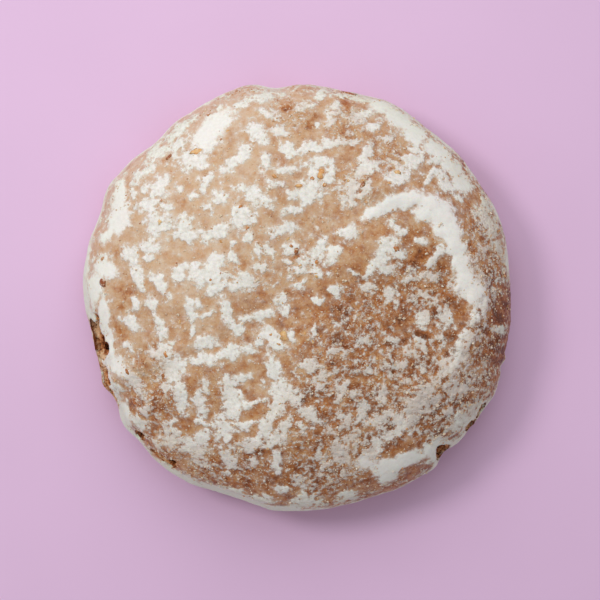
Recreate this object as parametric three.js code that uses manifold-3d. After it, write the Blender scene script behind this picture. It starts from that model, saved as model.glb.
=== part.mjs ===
// A round glazed lebkuchen: a low gingerbread dome, soft at the shoulder, that stands on its flat underside.
// The dough has baked uneven. Its edge has lobes and dents, its top has a long crest with a hollow inside it,
// and its side has split along one stretch and blistered open at a few other places.
// Units are millimetres and degrees. +Z is up, the underside lies on z = 0, and the origin is its middle.
// Angles run anticlockwise from +X, seen from above.

import * as THREE from "three";
import { mergeVertices } from "three/addons/utils/BufferGeometryUtils.js";
import Module from "manifold-3d";

// Driving dimensions.
const meanRadius = 34.75; // of the widest line round the side
const height = 21.5; // of the dome before its crest and hollows
const beltHeight = 6; // where the side is widest
const footInset = 3.4; // from the widest line in to the edge of the flat underside
const shoulder = 2.45; // superellipse exponent of the dome: 2 is an ellipse, more is boxier
const undercut = 2; // the same for the curve from the widest line down to the underside

// How finely the skin is drawn.
const segments = 120;
const domeRings = 23;
const undercutRings = 4;
const baseRings = 2;
const hollowDetail = 2; // subdivisions of the ball that cuts a hollow

// Where the edge stands out of the round (rise over 0) or is drawn in.
// Each fades out spread degrees to either side.
const edgeLobes = [
  { at: 20, spread: 18, rise: 0.45 },
  { at: 41, spread: 11, rise: 0.45 },
  { at: 61, spread: 13, rise: 0.5 },
  { at: 96, spread: 5.5, rise: -0.75 },
  { at: 107, spread: 19, rise: 0.75 },
  { at: 132, spread: 13, rise: -0.65 },
  { at: 148, spread: 11, rise: 1.0 },
  { at: 166, spread: 22, rise: 0.4 },
  { at: 193, spread: 16, rise: -0.9 },
  { at: 236, spread: 18, rise: 0.5 },
  { at: 252, spread: 13, rise: -0.65 },
  { at: 308, spread: 22, rise: 0.85 },
  { at: 334, spread: 13, rise: 0.75 },
];

// Small scallops all round the edge, so many to a turn.
const scallops = [
  { count: 17, rise: 0.09, start: 40 },
  { count: 29, rise: 0.07, start: 0 },
];

// The crest: a raised fold in the top. It follows a circle round (x, y), from one angle to another.
const crest = { x: 12.5, y: 0.5, radius: 16.6, from: -62, to: 92, fade: 16, width: 3, rise: 1.15 };

// Broad rises and hollows in the top, each a smooth mound of one radius.
const swells = [
  { x: 15, y: -1.5, radius: 11.5, rise: -1.35 }, // the hollow inside the crest
  { x: -12, y: 9, radius: 17, rise: 0.55 }, // the high side of the dome
  { x: -6, y: -21, radius: 9, rise: 0.45 },
  { x: 27, y: 19.5, radius: 4.2, rise: -0.6 },
  { x: 3, y: 28, radius: 4.6, rise: -0.55 }, // beside the crease
  { x: 21, y: 23, radius: 5, rise: 0.4 },
  { x: 16, y: -26, radius: 6, rise: 0.5 },
];

// Long, low waves over the whole dough, from its uneven rising.
const waves = [
  { heading: 25, length: 17, rise: 0.15, start: 70 },
  { heading: 100, length: 13, rise: 0.12, start: 330 },
  { heading: 155, length: 21, rise: 0.18, start: 240 },
];

// A short crease pressed into the back of the top.
const crease = { x: 2.7, y: 27.6, length: 4, width: 0.8, heading: 62, depth: 0.5 };

// The groove that runs round the side between the top's skin and the skirt under it.
const sideGroove = { from: 182, to: 262, fade: 10, above: 4.2, width: 2, depth: 0.6 };

// Hollows through the side, each lumpy: a split made of several in a row, and single blisters.
// wide is along the edge, tall is up the side, and deep is how far in it reaches.
const sideHollows = [
  { at: 186.2, z: 12.4, wide: 2.2, tall: 2.2, deep: 1.6 },
  { at: 189.8, z: 10.9, wide: 3.4, tall: 4.6, deep: 1.2 },
  { at: 194.4, z: 11.3, wide: 4.6, tall: 6.6, deep: 2.6 },
  { at: 198.6, z: 9.2, wide: 2.4, tall: 3.2, deep: 0.5 },
  { at: 202.8, z: 10.4, wide: 4.0, tall: 5.6, deep: 2.5 },
  { at: 206.6, z: 9.9, wide: 2.8, tall: 4.0, deep: 1.6 },
  { at: 209.6, z: 9.2, wide: 2.4, tall: 2.8, deep: 1.3 },
  { at: 221.6, z: 10.3, wide: 1.9, tall: 3.2, deep: 1.6 },
  { at: 227.4, z: 10.7, wide: 1.5, tall: 2.1, deep: 1.3 },
  { at: 230.2, z: 11.3, wide: 3.6, tall: 2.2, deep: 0.7 },
  { at: 233.3, z: 11.7, wide: 1.9, tall: 3.2, deep: 1.5 },
  { at: 313.2, z: 9.8, wide: 3.3, tall: 6.0, deep: 2.4 },
  { at: 323.6, z: 9.5, wide: 2.6, tall: 4.8, deep: 1.9 },
  { at: 328.6, z: 9.0, wide: 2.8, tall: 3.6, deep: 1.4 },
];
const hollowSink = 0.15; // how far a hollow's middle lies inside the skin, as a share of its depth
// How high a hollow's lumps are and how close together.
const hollowLumps = { rise: 0.06, alongX: 4.1, alongY: 4.7, alongZ: 5.3 };

const radians = THREE.MathUtils.degToRad;

// A smooth mound: 1 at 0, with no slope there, down to 0 at 1 and beyond.
function mound(t) {
  const d = Math.min(Math.abs(t), 1);
  return (1 - d * d) ** 2;
}

// The signed difference of two angles in degrees, from -180 to 180.
function turnBetween(a, b) {
  return THREE.MathUtils.euclideanModulo(a - b + 180, 360) - 180;
}

// 1 between two angles, falling to 0 over fade degrees past each end.
function withinArc(angle, { from, to, fade }) {
  const middle = (from + to) / 2;
  const past = Math.abs(turnBetween(angle, middle)) - (to - from) / 2;
  return THREE.MathUtils.clamp(1 - past / fade, 0, 1);
}

function outlineRadius(angle) {
  const lobes = edgeLobes.map(({ at, spread, rise }) => rise * mound(turnBetween(angle, at) / spread));
  const ripples = scallops.map(({ count, rise, start }) => rise * Math.sin(radians(count * angle + start)));
  return [...lobes, ...ripples].reduce((sum, rise) => sum + rise, meanRadius);
}

function crestRise(x, y) {
  const dx = x - crest.x;
  const dy = y - crest.y;
  const off = (Math.hypot(dx, dy) - crest.radius) / crest.width;
  const angle = THREE.MathUtils.radToDeg(Math.atan2(dy, dx));
  return crest.rise * mound(off) * withinArc(angle, crest);
}

function creaseDepth(x, y) {
  const along = new THREE.Vector2(x - crease.x, y - crease.y);
  along.rotateAround(new THREE.Vector2(), -radians(crease.heading));
  return crease.depth * mound(along.x / crease.length) * mound(along.y / crease.width);
}

function waveRise(x, y) {
  const rises = waves.map(({ heading, length, rise, start }) => {
    const along = x * Math.cos(radians(heading)) + y * Math.sin(radians(heading));
    return rise * Math.sin(radians((360 * along) / length + start));
  });
  return rises.reduce((sum, rise) => sum + rise, 0);
}

// How far the top stands above its plain dome at a place.
function topRelief(x, y) {
  const swell = swells.reduce((sum, s) => sum + s.rise * mound(Math.hypot(x - s.x, y - s.y) / s.radius), 0);
  return swell + waveRise(x, y) + crestRise(x, y) - creaseDepth(x, y);
}

// A point of the dome: climb runs from 0 on the widest line to 1 at the middle of the top.
function domePoint(angle, climb) {
  const turn = (climb * Math.PI) / 2;
  const share = Math.cos(turn) ** (2 / shoulder);
  const lift = Math.sin(turn) ** (2 / shoulder);
  const z = beltHeight + (height - beltHeight) * lift;
  const groove = sideGroove.depth * withinArc(angle, sideGroove) *
    mound((z - beltHeight - sideGroove.above) / sideGroove.width);
  const r = THREE.MathUtils.lerp(outlineRadius(angle), meanRadius, lift ** 2) * share - groove;
  const x = r * Math.cos(radians(angle));
  const y = r * Math.sin(radians(angle));
  return new THREE.Vector3(x, y, z + topRelief(x, y) * lift);
}

// A point of the curve under the widest line: drop runs from 0 on that line to 1 at the underside.
function undercutPoint(angle, drop) {
  const turn = (drop * Math.PI) / 2;
  const inset = footInset * (1 - Math.cos(turn) ** (2 / undercut));
  const r = outlineRadius(angle) - inset;
  const z = beltHeight * (1 - Math.sin(turn) ** (2 / undercut));
  return new THREE.Vector3(r * Math.cos(radians(angle)), r * Math.sin(radians(angle)), z);
}

// One ring of points round the biscuit, where place gives the point at an angle.
function ringOf(place) {
  return Array.from({ length: segments }, (_, i) => place((360 * i) / segments));
}

// The closed skin of the whole biscuit: rings from the middle of the underside to the middle of the top.
function skin() {
  const rings = [];
  for (let i = 1; i <= baseRings; i++) {
    rings.push(ringOf((angle) => undercutPoint(angle, 1).multiplyScalar(i / (baseRings + 1))));
  }
  for (let i = undercutRings; i > 0; i--) {
    rings.push(ringOf((angle) => undercutPoint(angle, i / undercutRings)));
  }
  for (let i = 0; i < domeRings; i++) {
    rings.push(ringOf((angle) => domePoint(angle, i / domeRings)));
  }

  const bottom = new THREE.Vector3(0, 0, 0);
  const top = domePoint(0, 1);
  const positions = [bottom, ...rings.flat(), top].flatMap((p) => p.toArray());
  const at = (row, column) => 1 + row * segments + (column % segments);
  const last = 1 + rings.length * segments;
  const faces = [];
  for (let i = 0; i < segments; i++) {
    faces.push(0, at(0, i + 1), at(0, i));
    faces.push(last, at(rings.length - 1, i), at(rings.length - 1, i + 1));
    for (let row = 0; row + 1 < rings.length; row++) {
      faces.push(at(row, i), at(row, i + 1), at(row + 1, i + 1));
      faces.push(at(row, i), at(row + 1, i + 1), at(row + 1, i));
    }
  }
  const geometry = new THREE.BufferGeometry();
  geometry.setAttribute("position", new THREE.Float32BufferAttribute(positions, 3));
  geometry.setIndex(faces);
  return geometry;
}

// The point of the dome's skin at an angle and a height.
function skinAtHeight(angle, z) {
  const lift = (z - beltHeight) / (height - beltHeight);
  const climb = (2 / Math.PI) * Math.asin(lift ** (shoulder / 2));
  return domePoint(angle, climb);
}

// A lumpy ball that cuts one hollow.
function hollowBall({ at, z, wide, tall, deep }) {
  const { rise, alongX, alongY, alongZ } = hollowLumps;
  const geometry = new THREE.IcosahedronGeometry(1, hollowDetail);
  const points = geometry.getAttribute("position");
  const p = new THREE.Vector3();
  for (let i = 0; i < points.count; i++) {
    p.fromBufferAttribute(points, i);
    const lumps = [alongX * p.x + at, alongY * p.y + 2 * at, alongZ * p.z + 3 * at].map(Math.sin);
    p.multiplyScalar(1 + rise * (lumps[0] + lumps[1] + lumps[2]));
    points.setXYZ(i, p.x, p.y, p.z);
  }
  geometry.scale(deep, wide / 2, tall / 2);
  geometry.rotateZ(radians(at));
  const centre = skinAtHeight(at, z);
  const inwards = new THREE.Vector3(-Math.cos(radians(at)), -Math.sin(radians(at)), 0);
  centre.addScaledVector(inwards, deep * hollowSink);
  return geometry.translate(centre.x, centre.y, centre.z);
}

const wasm = await Module();
wasm.setup();

function toSolid(geometry) {
  const bare = new THREE.BufferGeometry();
  bare.setAttribute("position", geometry.getAttribute("position"));
  bare.setIndex(geometry.getIndex());
  const merged = mergeVertices(bare, 1e-4);
  return new wasm.Manifold(new wasm.Mesh({
    numProp: 3,
    vertProperties: new Float32Array(merged.getAttribute("position").array),
    triVerts: new Uint32Array(merged.getIndex().array),
  }));
}

function toGeometry(solid) {
  const { vertProperties, triVerts } = solid.getMesh();
  const geometry = new THREE.BufferGeometry();
  geometry.setAttribute("position", new THREE.BufferAttribute(vertProperties, 3));
  geometry.setIndex(new THREE.BufferAttribute(triVerts, 1));
  return geometry;
}

// Moves the geometry sideways so that its box stands centred on the origin.
function centreOnAxis(geometry) {
  geometry.computeBoundingBox();
  const middle = geometry.boundingBox.getCenter(new THREE.Vector3());
  return geometry.translate(-middle.x, -middle.y, 0);
}

function lebkuchenGeometry() {
  const body = toSolid(skin());
  const hollows = sideHollows.map((hollow) => toSolid(hollowBall(hollow)));
  const opened = hollows.reduce((solid, hollow) => solid.subtract(hollow), body);
  const geometry = centreOnAxis(toGeometry(opened));
  geometry.computeVertexNormals();
  return geometry;
}

const bakedDough = new THREE.MeshStandardMaterial({ color: 0xc79b74, roughness: 0.55, metalness: 0 });
const lebkuchen = new THREE.Mesh(lebkuchenGeometry(), bakedDough);
lebkuchen.name = "lebkuchen";

const part = new THREE.Group();
part.name = "glazed_lebkuchen";
part.add(lebkuchen);

export default part;
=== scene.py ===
import math
import bmesh
import bpy
import numpy as np
from mathutils import Euler, Matrix, Vector, noise
from mathutils.bvhtree import BVHTree


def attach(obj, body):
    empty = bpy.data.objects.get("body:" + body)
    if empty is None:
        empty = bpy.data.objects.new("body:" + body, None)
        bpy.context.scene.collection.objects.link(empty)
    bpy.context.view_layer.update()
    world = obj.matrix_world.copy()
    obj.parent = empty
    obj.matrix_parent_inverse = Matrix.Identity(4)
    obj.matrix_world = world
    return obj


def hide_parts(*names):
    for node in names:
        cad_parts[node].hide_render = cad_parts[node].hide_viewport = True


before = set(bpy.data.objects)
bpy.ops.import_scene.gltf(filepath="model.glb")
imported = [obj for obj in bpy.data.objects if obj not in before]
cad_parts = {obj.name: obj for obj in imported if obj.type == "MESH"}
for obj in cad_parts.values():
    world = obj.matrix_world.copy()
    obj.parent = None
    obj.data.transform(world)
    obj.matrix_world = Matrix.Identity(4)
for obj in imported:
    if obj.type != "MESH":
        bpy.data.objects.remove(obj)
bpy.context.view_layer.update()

# A round glazed lebkuchen. Lengths are millimetres until a mesh is finished, and angles are degrees,
# anticlockwise from +X seen from above. Up is +Z and the underside lies on z = 0.

millimetre = 0.001
heart = np.array([0, 0, 8.0])  # a straight line from here meets the biscuit's skin only once
rimRadius = 34.8


def ease(low, high, x):
    # from 0 at low to 1 at high
    t = np.clip((x - low) / (high - low), 0, 1)
    return t * t * (3 - 2 * t)


def lumps(points, size, octaves=2, seed=0):
    shift = Vector((3.1 * seed, 7.7 * seed, 1.3 * seed))
    return np.array([noise.fractal(Vector(p) / size + shift, 1.0, 2.0, octaves) for p in points])


def wandering(points, size, seeds):
    # lumps of this size, one for each seed, side by side
    return np.stack([lumps(points, size, 2, seed) for seed in seeds], axis=1)


def angleOf(points):
    return np.degrees(np.arctan2(points[..., 1], points[..., 0]))


def turnFrom(middle, angle):
    # the way round from one angle to another, from -180 to 180
    return (angle - middle + 180) % 360 - 180


def alongRim(middle, angle):
    return turnFrom(middle, angle) * math.pi / 180 * rimRadius


def newObject(name, data):
    thing = bpy.data.objects.new(name, data)
    bpy.context.scene.collection.objects.link(thing)
    return thing


def makeObject(name, points, faces):
    mesh = bpy.data.meshes.new(name)
    mesh.from_pydata([tuple(p) for p in points], [], [tuple(f) for f in faces])
    return newObject(name, mesh)


def joined(name, parts, kinds=()):
    # one object from the points and faces of many parts, each perhaps of its own kind
    points, faces = [], []
    for shape, shapeFaces in parts:
        faces += [[len(points) + i for i in face] for face in shapeFaces]
        points += shape
    piece = makeObject(name, points, faces)
    if kinds:
        paint(piece, "kind", np.repeat(kinds, [len(shape) for shape, _ in parts]))
    return piece


def ballShape(steps, radius):
    # the points and faces of an even ball
    shape = bmesh.new()
    bmesh.ops.create_icosphere(shape, subdivisions=steps, radius=radius)
    shape.verts.index_update()
    points = [v.co.copy() for v in shape.verts]
    faces = [[v.index for v in face.verts] for face in shape.faces]
    shape.free()
    return points, faces


def triangleCount(piece):
    return sum(len(p.vertices) - 2 for p in piece.data.polygons)


def applied(piece, kind, **settings):
    # puts a modifier on the piece and applies it
    modifier = piece.modifiers.new(kind, kind)
    for name, value in settings.items():
        setattr(modifier, name, value)
    graph = bpy.context.evaluated_depsgraph_get()
    mesh = bpy.data.meshes.new_from_object(piece.evaluated_get(graph))
    old = piece.data
    piece.modifiers.clear()
    piece.data = mesh
    bpy.data.meshes.remove(old)
    return piece


def remesh(piece, size):
    return applied(piece, "REMESH", mode="VOXEL", voxel_size=size)


def cutAway(piece, cutter):
    applied(piece, "BOOLEAN", operation="DIFFERENCE", solver="MANIFOLD", object=cutter)
    bpy.data.objects.remove(cutter)


def valuesOf(items, name, width=3):
    values = np.empty(len(items) * width)
    items.foreach_get(name, values)
    return values.reshape(-1, width)


def pointsOf(piece):
    return valuesOf(piece.data.vertices, "co")


def normalsOf(piece):
    return valuesOf(piece.data.vertex_normals, "vector")


def movePoints(piece, points):
    piece.data.vertices.foreach_set("co", np.asarray(points, float).ravel())
    piece.data.update()


def treeOf(piece, unit=1):
    points = [Vector(p) for p in pointsOf(piece) / unit]
    return BVHTree.FromPolygons(points, [p.vertices for p in piece.data.polygons])


def paint(piece, name, values):
    attribute = piece.data.attributes.new(name, "FLOAT", "POINT")
    attribute.data.foreach_set("value", np.asarray(values, np.float32))


def finishMesh(piece, material):
    piece.data.transform(Matrix.Scale(millimetre, 4))
    piece.data.materials.clear()
    piece.data.materials.append(material)
    piece.data.shade_smooth()
    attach(piece, "root")


# Where the side has opened: angle, height, how wide along the edge, how tall, how far in it reaches.
openings = [
    (186.2, 12.4, 2.2, 2.2, 1.6), (189.8, 10.9, 3.4, 4.6, 1.2), (194.4, 11.3, 4.6, 6.6, 2.6),
    (198.6, 9.2, 2.4, 3.2, 0.5), (202.8, 10.4, 4, 5.6, 2.5), (206.6, 9.9, 2.8, 4, 1.6),
    (209.6, 9.2, 2.4, 2.8, 1.3), (221.6, 10.9, 2.1, 3.6, 2.6), (227.4, 10.7, 1.5, 2.1, 1.8),
    (230.2, 11.3, 3.6, 2.2, 0.7), (233.3, 11.7, 1.9, 3.2, 2.2), (313.2, 9.8, 3.3, 6, 3),
    (323.6, 9.5, 2.6, 4.8, 2.6), (328.6, 9.7, 2.8, 3.6, 2.4),
]

# Where the glaze has come away without the gingerbread under it opening, as above.
glazeGaps = [
    (188.8, 9.2, 3.6, 5, 0.9), (193.6, 8.8, 4.6, 6.2, 0.9), (198.2, 7.8, 4.6, 5, 0.8),
    (202.8, 8.2, 4.6, 5.6, 0.9), (207.4, 8, 3.6, 4.2, 0.8), (313.3, 7.6, 2.2, 3.6, 0.7),
    (323.7, 7.8, 1.7, 3, 0.6),
]

# Where the edge stands out or draws in: angle, spread, how far.
edgeSwells = [
    (20, 9, 0.3), (33, 4, 0.25), (44, 4, -0.1), (53, 4, -0.1), (101, 4, 0.35), (116, 5, -0.25),
    (125, 4, 0.35), (139, 6, 0.3), (144, 3, -0.2), (154, 7, -0.35), (184, 4, 0.25), (196, 5, 0.45),
    (204, 3, 0.7), (211, 4, -0.5), (217, 4, 0.35), (229, 7, 0.2), (239, 6, -0.35), (264, 8, 0.25),
    (302, 5, -0.25), (309, 3, 0.35), (313, 2.5, -0.35), (319, 3, 0.15), (325, 4, 0.55), (333, 4, 0.45),
    (338.4, 1.2, 0.1), (340.8, 1.2, -0.25), (343.6, 1.2, 0.35), (346.5, 2.5, 0.25), (353, 7, 0.5),
]

turns, tilts = 720, 361  # how many directions round and from bottom to top the skin is measured in

skinLook = {
    "healMargin": 1.3, "healTimes": 60,  # how far past an opening the skin is healed, and how smooth
    "smoothTimes": 14,
    "swell": 0.12,  # how far it stands out all the way round
}


def directions(up, around):
    # rows of ways out of the heart, from straight down to straight up
    tilt = np.linspace(-math.pi / 2, math.pi / 2, up)[:, None]
    turn = (2 * math.pi * np.arange(around) / around)[None, :]
    flat = np.cos(tilt)
    return np.stack([flat * np.cos(turn), flat * np.sin(turn), np.sin(tilt) + 0 * turn], axis=-1)


def measureSkin(node):
    # how far from the heart the frame's own surface lies each way
    tree = treeOf(node, millimetre)
    ways = directions(tilts, turns).reshape(-1, 3)
    reach = [tree.ray_cast(Vector(heart), Vector(way))[3] or 0 for way in ways]
    return np.array(reach).reshape(tilts, turns)


def blur(reach, times):
    for _ in range(times):
        reach = (np.roll(reach, 1, 1) + 2 * reach + np.roll(reach, -1, 1)) / 4
        reach[1:-1] = (reach[:-2] + 2 * reach[1:-1] + reach[2:]) / 4
    return reach


def healOpenings(reach):
    # the skin as it was before the side opened
    place = heart + directions(tilts, turns) * reach[..., None]
    angle = angleOf(place)
    hurt = np.zeros(reach.shape, bool)
    margin = skinLook["healMargin"]
    for at, z, wide, tall, _ in openings:
        along = alongRim(at, angle) / (wide / 2 + margin)
        up = (place[..., 2] - z) / (tall / 2 + margin)
        hurt |= along**2 + up**2 < 1
    rows = np.arange(tilts)
    for column in np.flatnonzero(hurt.any(axis=0)):
        bad = hurt[:, column]
        reach[bad, column] = np.interp(rows[bad], rows[~bad], reach[~bad, column])
    for _ in range(skinLook["healTimes"]):
        soft = blur(reach.copy(), 1)
        reach[hurt] = soft[hurt]
    return reach


def swellEdge(reach):
    # the edge standing out and drawing in, most of all at the heart's own height
    tilt = np.linspace(-math.pi / 2, math.pi / 2, tilts)[:, None]
    swell = skinLook["swell"]
    for at, width, rise in edgeSwells:
        swell = swell + rise * np.exp(-(turnFrom(at, np.arange(turns) * 360 / turns) / width) ** 2)
    return reach + swell[None, :] * np.cos(tilt) ** 5


skinReach = healOpenings(measureSkin(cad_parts["lebkuchen"]))
skinReach = swellEdge(blur(skinReach, skinLook["smoothTimes"]))


def reachAlong(ways):
    # the skin's distance from the heart in any direction
    row = (np.arcsin(np.clip(ways[:, 2], -1, 1)) / math.pi + 0.5) * (tilts - 1)
    column = (np.arctan2(ways[:, 1], ways[:, 0]) / (2 * math.pi)) % 1 * turns
    r0 = np.clip(row.astype(int), 0, tilts - 2)
    c0 = column.astype(int) % turns
    c1 = (c0 + 1) % turns
    fr, fc = row - r0, column - column.astype(int)
    low, high = (skinReach[r, c0] * (1 - fc) + skinReach[r, c1] * fc for r in (r0, r0 + 1))
    return low * (1 - fr) + high * fr


def fromHeart(points):
    # the way to each point, and how far along it the point lies
    ways = points - heart
    far = np.linalg.norm(ways, axis=1)
    return ways / far[:, None], far


def depthUnderSkin(points):
    ways, far = fromHeart(points)
    return reachAlong(ways) - far


def ontoSkin(points, inset=0):
    ways, _ = fromHeart(points)
    placed = heart + ways * (reachAlong(ways) - inset)[:, None]
    return np.maximum(placed, (-np.inf, -np.inf, 0))


def keepUnder(points, least):
    # no nearer to the skin than this
    ways, far = fromHeart(points)
    return heart + ways * np.minimum(far, reachAlong(ways) - least)[:, None]


def skinBall(name, around, up, inset=0):
    # a closed mesh of the skin with this many steps round and up
    rings = directions(up + 1, around)[1:-1].reshape(-1, 3)
    ways = np.concatenate([[(0, 0, -1)], rings, [(0, 0, 1)]])
    last = len(ways) - 1
    faces = []
    for column in range(around):
        after = (column + 1) % around
        faces.append((0, 1 + after, 1 + column))
        faces.append((last, last - around + column, last - around + after))
        for row in range(up - 2):
            a, b = 1 + row * around, 1 + (row + 1) * around
            faces.append((a + column, a + after, b + after, b + column))
    return makeObject(name, heart + ways * (reachAlong(ways) - inset)[:, None], faces)


def evenSkin(name, size):
    # the skin as an even mesh with edges of this length
    piece = remesh(skinBall(name, 300, 150), size)
    movePoints(piece, ontoSkin(pointsOf(piece)))
    return piece


def skinAtHeight(angle, z):
    # the point of the healed skin at an angle and a height, drawn nearer step by step
    c, s = math.cos(math.radians(angle)), math.sin(math.radians(angle))
    r = rimRadius
    for _ in range(20):
        r += depthUnderSkin(np.array([[c * r, s * r, z]]))[0]
    return Vector((c * r, s * r, z))


print("skin measured")

# The glaze is white, brown or grainy where the ovals below lie on it.

# White sugar patches on the top: x, y, length, width, heading.
whitePatches = {}
whitePatches["back left"] = [
    (-17.2, 22.8, 5.4, 3.8, 15), (-15, 25.6, 4.5, 3.4, 40), (-19.4, 27.4, 6.5, 2, 40),
    (-19.4, 25.2, 3.8, 1.9, 42), (-23, 24, 4.6, 2, 42), (-5.6, 33.2, 6.5, 2, 10), (-9, 31.6, 3, 1.4, 20),
    (-4.8, 30.4, 3.4, 1.5, -20), (-6.6, 27.4, 4.4, 2.9, -50), (-3.4, 27.6, 3, 2, 0),
    (-9.6, 23.2, 7.4, 2.2, 45), (-5.3, 22.5, 3.8, 1.7, 80), (-1.4, 24.6, 3.4, 2.4, -20),
    (-1.8, 21.4, 4.2, 1.5, 0), (-3.5, 18.8, 3.2, 1.7, 10), (-7.6, 17.6, 5.4, 3.5, -30),
    (-4.8, 16, 3.2, 2, -30), (-0.8, 17.2, 1.8, 2.2, -60), (-14.5, 19.6, 1.8, 2.4, 0),
    (-11.9, 21, 2.6, 1, 10), (-15.2, 18.4, 2.4, 1.6, 60), (-16.9, 16.6, 2.6, 1.6, 0),
    (-12.5, 16.8, 2.8, 2, 0), (-14.9, 15, 2.4, 1.2, 20), (-19.4, 18.3, 1.8, 1.4, 40),
    (-22.6, 18.3, 6, 3, 45), (-24.8, 20.9, 4.8, 1.6, 30), (-26.6, 19, 2, 0.9, 20), (-26.8, 17.2, 2, 1.3, 80),
    (-24.6, 15.6, 5.4, 1.6, 20), (-25.2, 18.2, 2.6, 1.5, 45), (-21.2, 15.4, 2.6, 1.3, -10),
    (-22.4, 12.8, 5.6, 4.4, -10), (-18.2, 12, 4, 3.6, 80), (-17.4, 10.4, 7, 2.4, 5), (-13, 11.1, 5, 2, 15),
    (-23.8, 8.8, 4.2, 3, -15), (-24.2, 6.8, 2, 1.4, 0), (-27.2, 7, 4.8, 2.6, -60),
    (-26.3, 3.6, 5.6, 2.4, -65), (-13.4, 6.3, 4.2, 3.2, 60), (-15.6, 4, 9.4, 4.2, 0),
    (-19.6, 4.4, 3.4, 2.2, 30), (-13.2, 1.9, 4.6, 2, 20), (-22.8, 2.4, 5, 2.1, -58), (-8.6, 3, 4, 3.6, -30),
    (-9.8, 1.9, 2.4, 1.8, 20), (-9.1, 13.4, 4.6, 3.4, 0), (-2.4, 11.7, 4.6, 2.2, 10),
    (-0.8, 14.4, 3, 1.8, 10), (-7.8, 10.2, 1.8, 2.4, 0), (-4.7, 8.1, 3, 1.4, -55),
    (-6.3, 5.3, 3.4, 1.7, -10), (-10.4, 9, 1.6, 1, 30), (-10.6, 7.2, 1.3, 1.8, 0), (-6.5, 8.2, 1.4, 1.5, 0),
    (-1.6, 6.4, 2, 0.9, -20), (-2.8, -0.2, 2.4, 2, 60),
]
whitePatches["back right"] = [
    (1.8, 17.6, 5, 4.4, 50), (5.2, 20.6, 3.4, 2, 70), (2.6, 20.4, 2.6, 1.8, 60), (3.6, 22.4, 4.8, 1.7, 10),
    (1.6, 24.8, 6.2, 2, 10), (5.6, 25.6, 6.2, 1.6, 5), (9, 26, 3, 1, 10), (11.6, 24, 3.8, 1.9, 70),
    (11.2, 21.7, 4.8, 2.2, 15), (9, 18.6, 5.8, 1.9, 5), (8.6, 16.5, 3.8, 2.4, 40),
    (11.2, 18.2, 3.4, 1.5, 80), (16.5, 20.5, 4.8, 3.4, 10), (19, 22.8, 4.4, 2.2, 30),
    (22.4, 22.8, 3, 1.5, 20), (22.4, 21, 2.8, 1.2, 10), (19.4, 24.6, 2.4, 1.4, 20),
    (24.4, 19, 4.4, 2.2, -55), (21.6, 19.8, 3, 1, 60), (16, 12.2, 3.2, 1.7, -45), (17.4, 10.8, 2, 1.6, 0),
    (14.8, 8, 5.2, 3.5, 55), (13.6, 6, 4.8, 3, 50), (16.8, 7.4, 2.4, 1.9, 0), (15.2, 4.8, 2.4, 1.5, 30),
    (8.4, 10.9, 3.4, 2.8, 0), (5.9, 7.3, 5, 2.1, 55), (3.2, 8.1, 4.4, 1.9, 50), (4, 6.8, 1.6, 1.1, 0),
    (1, 6.2, 2.6, 1.2, -20), (3.6, 4.6, 4, 1.5, -15), (0.6, 4.8, 2.4, 1.2, 10), (0.5, 2.2, 1.8, 1.6, 0),
    (6.3, 1.6, 2.7, 2.2, -30), (3.4, -0.2, 2.4, 1.2, 0), (11.6, 2.1, 3.2, 1.3, -20),
    (-0.8, 8.4, 2.8, 2.4, 0), (9.4, 4.5, 3.8, 0.8, -25), (11.2, 4.2, 2.2, 1.1, 10), (14, 4.8, 2.2, 1.5, 0),
    (15.4, 0.8, 3.2, 1.3, -70), (22.6, 6.8, 4.6, 1.5, 50), (20.4, 9.6, 3.4, 1.4, 10),
    (21.6, 3.8, 2.4, 1.6, -20), (18.2, 3.2, 2.2, 1, 10), (20.8, 0.6, 2.6, 1.5, -40), (18.8, 0, 1.4, 1, 0),
    (10.4, 33, 5.4, 1.3, -10), (7, 33.4, 3, 0.9, -10), (3.8, 33.6, 2.6, 1.6, 30), (1.4, 31.8, 3.8, 1.4, 10),
    (6, 31.2, 3.2, 1.8, 60), (5.2, 29.5, 1.3, 1.6, 0), (10.8, 30, 4.4, 1.6, 15), (12.6, 28.4, 3.4, 1.1, 15),
    (14.8, 26.5, 2.4, 0.9, -10), (3.3, 28.8, 1.5, 1, 60), (30.9, 12.4, 4.8, 2.8, -62),
    (30.8, 15.8, 2.8, 1.2, -58), (33, 8.4, 3.6, 1.2, -75), (30.7, 8.2, 1.7, 1.3, 0),
    (26.4, 16.6, 2, 1.2, -50),
]
whitePatches["crest"] = [
    (12.4, 14.2, 3.2, 1.7, 30), (15.3, 15.8, 4.4, 2.2, 22), (18.6, 16.5, 4.8, 2.2, 4),
    (21.8, 15.7, 4.6, 3.2, -15), (20.6, 14, 3.2, 2, -20), (23.5, 13.8, 4.8, 4.2, -50),
    (25.2, 11.2, 4.4, 3.2, -65), (23.5, 10.9, 3.4, 1.9, -40), (26, 8.4, 4.4, 2.8, -65),
    (26.9, 5.8, 4.4, 3, -72), (27.8, 3, 4.6, 3.4, -82), (29, 0.9, 3.8, 3.5, 80), (26.4, 2.2, 2.6, 1.6, 20),
]
whitePatches["crest foot"] = [
    (30.8, -0.9, 3.2, 2.6, 60), (29.3, -3.2, 4, 2, 60), (27.9, -6, 4.2, 2, 64), (26.7, -8.7, 3.8, 1.9, 60),
    (25.3, -11, 4.4, 2.8, 45), (27.8, -9.8, 2.2, 1.4, 50),
]
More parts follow.
